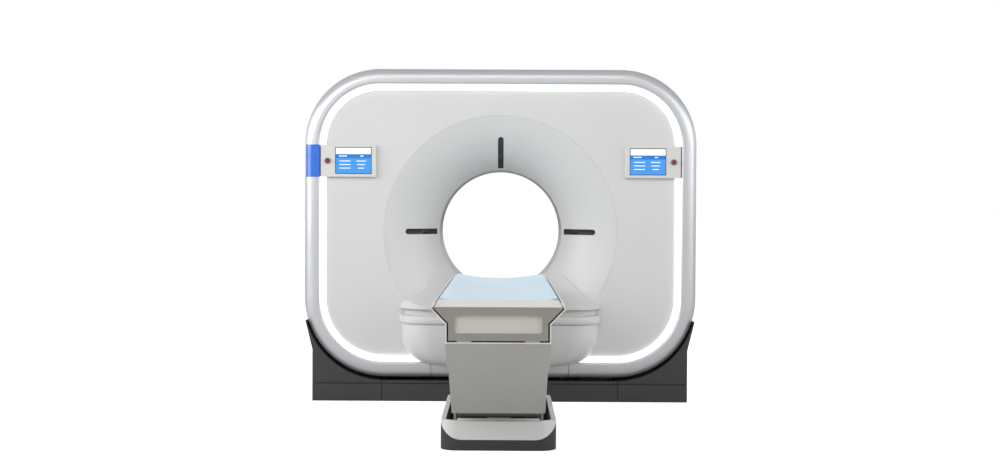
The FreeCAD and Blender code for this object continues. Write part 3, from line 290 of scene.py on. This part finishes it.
def lit_display(name, colour, strength):
    """Liquid crystal panel behind cover glass: its own light under a gloss face."""
    material, tree, shader = start_material(name)
    dark = [c * 0.35 for c in colour[:3]] + [1.0]
    tone_noise(tree, shader, dark, 0.08, 0.04)
    set_inputs(shader, Roughness=0.12, IOR=1.52, Emission_Color=colour,
               Emission_Strength=strength)
    return material


def dress(slot_name, material):
    """Give every CAD node of a record slot its finish."""
    for subpart in frame["record"]["subparts"]:
        if subpart["material_slot"] == slot_name:
            node = frame["nodes"][subpart["node"]]
            node.data.materials.clear()
            node.data.materials.append(material)


def smooth_by_angle(piece, degrees=30):
    """Smooth shading that keeps edges sharper than the angle."""
    for polygon in piece.data.polygons:
        polygon.use_smooth = True
    piece.data.set_sharp_from_angle(angle=math.radians(degrees))


def new_piece(name, mesh_or_bm, body, material, replaced=()):
    """A modelled piece that rides on a body and says what it is made of."""
    mesh = bpy.data.meshes.new(name)
    mesh_or_bm.to_mesh(mesh)
    mesh_or_bm.free()
    mesh.materials.append(material)
    piece = bpy.data.objects.new(name, mesh)
    bpy.context.scene.collection.objects.link(piece)
    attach(piece, body)
    if replaced:
        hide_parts(*replaced)
    return piece


def rounded_plate(bm, centre, width, height, radius, thickness, steps=6):
    """A plate with round corners, centred on its outer face; thickness runs from there in +Y."""
    corners = []
    for sx, sz, start in ((1, 1, 0), (-1, 1, 90), (-1, -1, 180), (1, -1, 270)):
        for step in range(steps + 1):
            angle = math.radians(start + 90 * step / steps)
            x = centre[0] + sx * (width / 2 - radius) + radius * math.cos(angle)
            z = centre[2] + sz * (height / 2 - radius) + radius * math.sin(angle)
            corners.append((x, z))
    front = [bm.verts.new((x, centre[1], z)) for x, z in corners]
    back = [bm.verts.new((x, centre[1] + thickness, z)) for x, z in corners]
    count = len(corners)
    bm.faces.new(front)
    bm.faces.new(back[::-1])
    for i in range(count):
        j = (i + 1) % count
        bm.faces.new((front[j], front[i], back[i], back[j]))


# ---------------------------------------------------------------- operators

class SCANNER_OT_covers(bpy.types.Operator):
    """Finish the gantry's covers, bezel, bore and light band"""
    bl_idname = "scanner.covers"
    bl_label = "Gantry covers"

    def execute(self, context):
        colours = context.scene.scanner_finishes
        sizes = context.scene.scanner_sizes
        dress("satin_silver", silver_lacquer("bezel_silver_lacquer", colours.bezel))
        dress("panel_white", sprayed_cover("cover_sprayed_polyurethane", colours.cover,
                                           pitch=sizes.spray_pitch))
        dress("light_band", glowing_band("light_band_opal_polycarbonate", colours.light))
        dress("smoked_window", gloss_acrylic("laser_window_smoked_acrylic", colours.window))
        dress("liner_grey", sprayed_cover("bore_liner_polycarbonate", colours.liner, (0.3, 0.36)))
        for name in ("bezel_front", "bezel_lower_front", "bezel_rear", "front_dish", "rear_dish",
                     "chin_bowl", "chin_lid", "bore_liners", "scan_window", "top_under_covers",
                     "side_cover_left", "side_cover_right"):
            smooth_by_angle(frame["nodes"][name])
        return {"FINISHED"}


class SCANNER_OT_controls(bpy.types.Operator):
    """Finish the consoles and give each display its picture of plain fields"""
    bl_idname = "scanner.controls"
    bl_label = "Consoles and displays"

    def execute(self, context):
        colours = context.scene.scanner_finishes
        dress("console_beige", grained_plastic("console_moulded_abs", colours.console))
        dress("screen_blue", gloss_acrylic("display_cover_glass", linear("#3C3F46"), 0.06))
        dress("stop_red", grained_plastic("stop_moulded_nylon", colours.stop, (0.3, 0.4)))
        dress("collar_grey", grained_plastic("collar_moulded_nylon", linear("#8F8C88")))
        dress("badge_blue", gloss_acrylic("badge_stoved_enamel", colours.badge, 0.2))
        header = lit_display("display_white_field", linear("#F4F8FB"), 0.9)
        bar = lit_display("display_blue_bar", colours.screen_bar, 0.9)
        ground = lit_display("display_blue_field", colours.screen, 0.95)
        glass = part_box("touchscreens")
        low_z, high_z = glass[0][2], glass[1][2]
        front_y = glass[0][1] - 0.4 * MM
        margin = 4 * MM
        half_gap = frame_inner_x() + margin
        outer = glass[1][0] - margin
        for side, name in ((-1, "left"), (1, "right")):
            middle = side * (half_gap + outer) / 2
            width = outer - half_gap
            height = high_z - low_z - 2 * margin
            top = high_z - margin
            for field, material, start, share in (("header", header, 0.0, 0.25),
                                                  ("bar", bar, 0.25, 0.15),
                                                  ("field", ground, 0.40, 0.60)):
                self.show_field(f"display_{field}_{name}", middle, top - height * start,
                                width, height * share, front_y, material)
            self.show_marks(f"display_marks_{name}", middle, top, width, height,
                            front_y - 0.3 * MM, header)
        return {"FINISHED"}

    @staticmethod
    def show_marks(name, middle, top, width, height, front_y, material):
        """Plain bars in the displays' fields: each its place and size as shares of the picture."""
        bars = [(-0.30, 0.325, 0.24, 0.035), (0.24, 0.325, 0.10, 0.035)]
        bars += [(-0.24, 0.52 + 0.14 * row, 0.32, 0.03) for row in range(3)]
        bars += [(0.22, 0.52 + 0.14 * row, 0.28 - 0.05 * row, 0.03) for row in range(3)]
        bm = bmesh.new()
        for across, down, wide, high in bars:
            rounded_plate(bm, (middle + across * width, front_y, top - down * height),
                          wide * width, high * height, 0.4 * high * height, 0.4 * MM, steps=3)
        new_piece(name, bm, "root", material)

    @staticmethod
    def show_field(name, middle, top, width, height, front_y, material):
        """One lit field of a display, a thin plate on the glass."""
        bm = bmesh.new()
        rounded_plate(bm, (middle, front_y, top - height / 2), width, height - 0.6 * MM,
                      1.5 * MM, 0.5 * MM)
        new_piece(name, bm, "root", material)


def frame_inner_x():
    """The displays' inner edge, from the right-hand half of the touchscreens' mesh."""
    mesh = frame["nodes"]["touchscreens"].data
    return min(v.co.x for v in mesh.vertices if v.co.x > 0)


class SCANNER_OT_base(bpy.types.Operator):
    """Finish the base, the skirts and the works inside the gantry"""
    bl_idname = "scanner.base"
    bl_label = "Base and inner works"

    def execute(self, context):
        colours = context.scene.scanner_finishes
        dress("skirt_dark", grained_plastic("skirt_moulded_abs", colours.skirt, (0.42, 0.5)))
        dress("base_dark", powder_coat("foot_powder_coated_steel", colours.skirt))
        dress("frame_steel", powder_coat("frame_powder_coated_steel", linear("#8A8D92")))
        dress("bare_steel", machined_metal("race_ground_bearing_steel", linear("#C9C9CA"), 0.22))
        dress("cast_alloy", machined_metal("disc_machined_aluminium", linear("#D0D1D3"), 0.34))
        dress("copper_track", machined_metal("track_turned_brass", linear("#D9B26A"), 0.25))
        dress("tube_black", powder_coat("tube_black_enamel", linear("#2A2B2E"), (0.3, 0.4)))
        dress("belt_rubber", belt_rubber("belt_ribbed_rubber", linear("#1D1D1D")))
        dress("detector_black", grained_plastic("detector_filled_epoxy", linear("#202022")))
        dress("lead_grey", powder_coat("counterweight_cast_iron", linear("#55575A")))
        for name in ("base_corner_left", "base_corner_right"):
            smooth_by_angle(frame["nodes"][name])
        return {"FINISHED"}


class SCANNER_OT_fittings(bpy.types.Operator):
    """Add the rear panel's grilles and its screws"""
    bl_idname = "scanner.fittings"
    bl_label = "Rear fittings"

    def execute(self, context):
        low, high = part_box("rear_panel")
        face = frame_face("rear_panel")
        slats, slat_width, slat_height, slat_pitch = 14, 0.24, 8 * MM, 16 * MM
        slat_rise, from_side, from_bottom = 1.6 * MM, 0.25, 0.12
        plastic = grained_plastic("grille_moulded_abs", linear("#9A9B9C"), (0.5, 0.6))
        bm = bmesh.new()
        for side in (-1, 1):
            for row in range(slats):
                place = (side * (high[0] - from_side), face + slat_rise,
                         low[2] + from_bottom + slat_pitch * row)
                rounded_plate(bm, place, slat_width, slat_height, slat_height / 2, -slat_rise)
        new_piece("rear_grilles", bm, "root", plastic)
        steel = machined_metal("screw_plated_steel", linear("#B9BABC"), 0.3)
        bm = bmesh.new()
        inset, from_end, half_row = 0.035, 0.35, 0.55
        spots = [(side * (high[0] - inset), z) for side in (-1, 1)
                 for z in (low[2] + from_end, (low[2] + high[2]) / 2, high[2] - from_end)]
        spots += [(x, z) for x in (-half_row, 0.0, half_row)
                  for z in (low[2] + inset, high[2] - inset)]
        for x, z in spots:
            self.screw(bm, x, face, z)
        new_piece("rear_screws", bm, "root", steel)
        return {"FINISHED"}

    @staticmethod
    def screw(bm, x, face, z):
        """A low domed head, turned, with a round socket."""
        profile = [(7.0, 0.0), (6.6, 1.2), (4.8, 1.9), (3.0, 2.1), (3.0, 0.6), (0.0, 0.6)]
        sides = 24
        rings = []
        for radius, rise in profile[:-1]:
            rings.append([bm.verts.new((
                x + radius * MM * math.cos(2 * math.pi * i / sides), face + rise * MM,
                z + radius * MM * math.sin(2 * math.pi * i / sides))) for i in range(sides)])
        for inner, outer in zip(rings[1:], rings):
            for i in range(sides):
                j = (i + 1) % sides
                bm.faces.new((outer[i], outer[j], inner[j], inner[i]))
        bm.faces.new(rings[-1])
        bm.faces.new(rings[0][::-1])
        bmesh.ops.recalc_face_normals(bm, faces=bm.faces)


def frame_face(name):
    """How far back the flat rim of a rear piece lies: its vertices farthest out to the side."""
    mesh = frame["nodes"][name].data
    reach = max(v.co.x for v in mesh.vertices)
    return max(v.co.y for v in mesh.vertices if v.co.x > reach - 1 * MM)


class SCANNER_OT_table(bpy.types.Operator):
    """Finish the patient table"""
    bl_idname = "scanner.table"
    bl_label = "Patient table"

    def execute(self, context):
        colours = context.scene.scanner_finishes
        dress("table_white", sprayed_cover("table_gelcoat_laminate", colours.table, (0.32, 0.4)))
        dress("cap_taupe", grained_plastic("cap_moulded_abs", colours.cap, (0.4, 0.48)))
        dress("tray_light", grained_plastic("tray_moulded_abs", colours.tray, (0.4, 0.48)))
        # The column's grey is darkened to stand for the shade under the tabletop: painted shade.
        dress("column_grey", sprayed_cover("column_sprayed_steel_painted_shade", colours.column, (0.4, 0.5)))
        for name in ("cradle", "end_cap", "trough", "foot_cover", "foot_base", "grip_tray",
                     "lift_arm_front", "lift_arm_rear"):
            smooth_by_angle(frame["nodes"][name])
        return {"FINISHED"}


class SCANNER_OT_mattress(bpy.types.Operator):
    """Model the mattress: a pad that sags with the cradle and rolls over at its edges"""
    bl_idname = "scanner.mattress"
    bl_label = "Mattress"

    def execute(self, context):
        colours = context.scene.scanner_finishes
        sizes = context.scene.scanner_sizes
        cloth = coated_cloth("mattress_coated_knit", colours.mattress, sizes.cloth_pitch)
        low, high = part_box("mattress")
        sag = sizes.mattress_sag
        depth = high[2] - low[2]
        across, along = 36, 120
        clear = 2 * MM
        side_roll, end_roll, end_open = 6, 40, 0.02
        under_sag = 0.82
        half = high[0] - clear
        bm = bmesh.new()
        rows = {"top": [], "under": []}
        for j in range(along + 1):
            v = j / along
            y = low[1] + clear + v * (high[1] - low[1] - 2 * clear)
            for level in rows:
                row = []
                for i in range(across + 1):
                    u = 2 * i / across - 1
                    edge = min(1.0, side_roll * (1 - abs(u)), end_roll * min(v, 1 - v) + end_open)
                    round_off = math.sqrt(max(0.0, 1 - (1 - edge) ** 2))
                    top = high[2] - sag * (1 - u * u)
                    under = low[2] + depth * u * u * under_sag
                    middle = top - sizes.mattress_roll
                    if level == "top":
                        z = middle + (top - middle) * round_off
                    else:
                        z = middle + (under - middle) * round_off
                    row.append(bm.verts.new((u * half, y, z)))
                rows[level].append(row)
        self.skin(bm, rows["top"], False)
        self.skin(bm, rows["under"], True)
        self.close(bm, rows["top"], rows["under"])
        bmesh.ops.recalc_face_normals(bm, faces=bm.faces)
        pad = new_piece("mattress_pad", bm, "tabletop", cloth, ["mattress"])
        smooth_by_angle(pad, 60)
        return {"FINISHED"}

    @staticmethod
    def skin(bm, rows, flip):
        """Quads between neighbouring rows."""
        for near, far in zip(rows, rows[1:]):
            for i in range(len(near) - 1):
                loop = (near[i], near[i + 1], far[i + 1], far[i])
                bm.faces.new(loop[::-1] if flip else loop)

    @staticmethod
    def close(bm, top, under):
        """The narrow wall between the two skins, all round."""
        def ring(rows):
            return (rows[0] + [row[-1] for row in rows[1:]] + rows[-1][-2::-1]
                    + [row[0] for row in rows[-2:0:-1]])
        upper, lower = ring(top), ring(under)
        for i, vertex in enumerate(upper):
            j = (i + 1) % len(upper)
            bm.faces.new((vertex, upper[j], lower[j], lower[i]))


class SCANNER_OT_stage(bpy.types.Operator):
    """Lay the pale floor, set the soft lights and place the camera"""
    bl_idname = "scanner.stage"
    bl_label = "Stage"

    def execute(self, context):
        scene = context.scene
        self.lay_floor(scene)
        self.hang_lights(scene)
        self.fill_world(scene)
        self.place_camera(scene)
        scene.view_settings.view_transform = "Standard"
        return {"FINISHED"}

    @staticmethod
    def lay_floor(scene):
        """A wide matt floor that runs out to white, and throws back less light than it shows."""
        mesh = bpy.data.meshes.new("floor")
        reach = 120
        corners = [(-reach, -reach, 0), (reach, -reach, 0), (reach, reach, 0), (-reach, reach, 0)]
        mesh.from_pydata(corners, [], [(0, 1, 2, 3)])
        floor = bpy.data.objects.new("floor", mesh)
        scene.collection.objects.link(floor)
        material, tree, shader = start_material("floor_matt_paint")
        set_inputs(shader, Roughness=0.9, Specular_IOR_Level=0.1)
        seen = add_node(tree, "ShaderNodeLightPath").outputs["Is Camera Ray"]
        paint = add_node(tree, "ShaderNodeValToRGB", inputs={"Fac": seen})
        paint.color_ramp.elements[0].color = linear("#D2D2D2")
        paint.color_ramp.elements[1].color = linear("#FAFAFA")
        tree.links.new(paint.outputs["Color"], shader.inputs["Base Color"])
        tree.links.new(paint.outputs["Color"], shader.inputs["Emission Color"])
        lift = add_node(tree, "ShaderNodeMath", {"operation": "MULTIPLY"}, {0: seen, 1: 0.7})
        tree.links.new(lift.outputs["Value"], shader.inputs["Emission Strength"])
        mesh.materials.append(material)

    @staticmethod
    def hang_lights(scene):
        """Large soft lamps, in watts: ahead on both sides, at both sides, above and behind."""
        lamps = [
            ("key_soft", (-4.2, -6.5, 4.1), (0, 0, 0.9), (4.0, 3.0), 130),
            ("fill_soft", (4.8, -6.0, 3.6), (0, 0, 0.9), (3.5, 3.0), 62),
            ("left_soft", (-5.0, -2.0, 2.3), (-1.0, -0.3, 1.1), (3.0, 2.5), 84),
            ("right_soft", (5.0, -2.0, 2.3), (1.0, -0.3, 1.1), (3.0, 2.5), 42),
            ("top_soft", (0, -4.5, 4.6), (0, -2.4, 0), (3.0, 2.0), 34),
            ("rear_soft", (0, 6.0, 4.0), (0, 0, 1.0), (5.0, 3.0), 55),
        ]
        for name, place, target, (width, height), watts in lamps:
            data = bpy.data.lights.new(name, "AREA")
            data.shape = "RECTANGLE"
            data.size, data.size_y, data.energy = width, height, watts
            lamp = bpy.data.objects.new(name, data)
            lamp.location = place
            aim = Vector(target) - Vector(place)
            lamp.rotation_euler = aim.to_track_quat("-Z", "Y").to_euler()
            scene.collection.objects.link(lamp)

    @staticmethod
    def fill_world(scene):
        """White to the eye; as a light, brightest at the horizon and dimmer overhead."""
        world = bpy.data.worlds.new("studio_white")
        world.use_nodes = True
        tree = world.node_tree
        tree.nodes.clear()
        direction = add_node(tree, "ShaderNodeTexCoord").outputs["Generated"]
        parts = add_node(tree, "ShaderNodeSeparateXYZ", inputs={"Vector": direction})
        ramp = add_node(tree, "ShaderNodeValToRGB", inputs={"Fac": add_node(
            tree, "ShaderNodeMapRange", inputs={"Value": parts.outputs["Z"], "From Min": -0.2,
                                                "From Max": 1.0}).outputs["Result"]})
        horizon, overhead = ramp.color_ramp.elements
        horizon.position, overhead.position = 0.17, 0.55
        horizon.color = (0.95, 0.95, 0.96, 1)
        overhead.color = (0.36, 0.36, 0.36, 1)
        seen = add_node(tree, "ShaderNodeBackground", inputs={"Color": (1, 1, 1, 1)})
        unseen = add_node(tree, "ShaderNodeBackground", inputs={"Color": ramp.outputs["Color"]})
        camera_ray = add_node(tree, "ShaderNodeLightPath").outputs["Is Camera Ray"]
        mix = add_node(tree, "ShaderNodeMixShader", inputs={
            0: camera_ray, 1: unseen.outputs["Background"], 2: seen.outputs["Background"]})
        output = add_node(tree, "ShaderNodeOutputWorld")
        tree.links.new(mix.outputs["Shader"], output.inputs["Surface"])
        scene.world = world

    @staticmethod
    def place_camera(scene):
        """A 50 mm view along the bore from beyond the table's near end."""
        sizes = scene.scanner_sizes
        data = bpy.data.cameras.new("camera")
        data.lens, data.sensor_width = 50, 36
        camera = bpy.data.objects.new("camera", data)
        camera.location = (sizes.camera_shift, -sizes.camera_distance, sizes.camera_height)
        pitch, roll, turn = math.radians(1.15), math.radians(-0.28), math.radians(0.184)
        camera.rotation_euler = (math.radians(90) - pitch, roll, turn)
        scene.collection.objects.link(camera)
        scene.camera = camera


class SCANNER_PT_panel(bpy.types.Panel):
    """The scanner's finishes, sizes and steps"""
    bl_idname = "SCANNER_PT_panel"
    bl_label = "CT scanner"
    bl_space_type = "VIEW_3D"
    bl_region_type = "UI"
    bl_category = "Scanner"

    def draw(self, context):
        for group in (context.scene.scanner_finishes, context.scene.scanner_sizes):
            box = self.layout.box()
            for prop in group.__annotations__:
                box.prop(group, prop)
        for operator in OPERATORS:
            self.layout.operator(operator.bl_idname)


GROUPS = (ScannerFinishes, ScannerSizes)
OPERATORS = (SCANNER_OT_covers, SCANNER_OT_controls, SCANNER_OT_base, SCANNER_OT_fittings,
             SCANNER_OT_table, SCANNER_OT_mattress, SCANNER_OT_stage)


def register():
    """Register the classes and hang the property groups on the scene."""
    for cls in GROUPS + OPERATORS + (SCANNER_PT_panel,):
        bpy.utils.register_class(cls)
    bpy.types.Scene.scanner_finishes = bpy.props.PointerProperty(type=ScannerFinishes)
    bpy.types.Scene.scanner_sizes = bpy.props.PointerProperty(type=ScannerSizes)


def unregister():
    """Take everything off again."""
    del bpy.types.Scene.scanner_finishes
    del bpy.types.Scene.scanner_sizes
    for cls in reversed(GROUPS + OPERATORS + (SCANNER_PT_panel,)):
        bpy.utils.unregister_class(cls)


def main():
    """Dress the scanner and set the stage."""
    register()
    bpy.ops.scanner.covers()
    bpy.ops.scanner.controls()
    bpy.ops.scanner.base()
    bpy.ops.scanner.fittings()
    bpy.ops.scanner.table()
    bpy.ops.scanner.mattress()
    bpy.ops.scanner.stage()


if __name__ == "__main__":
    main()
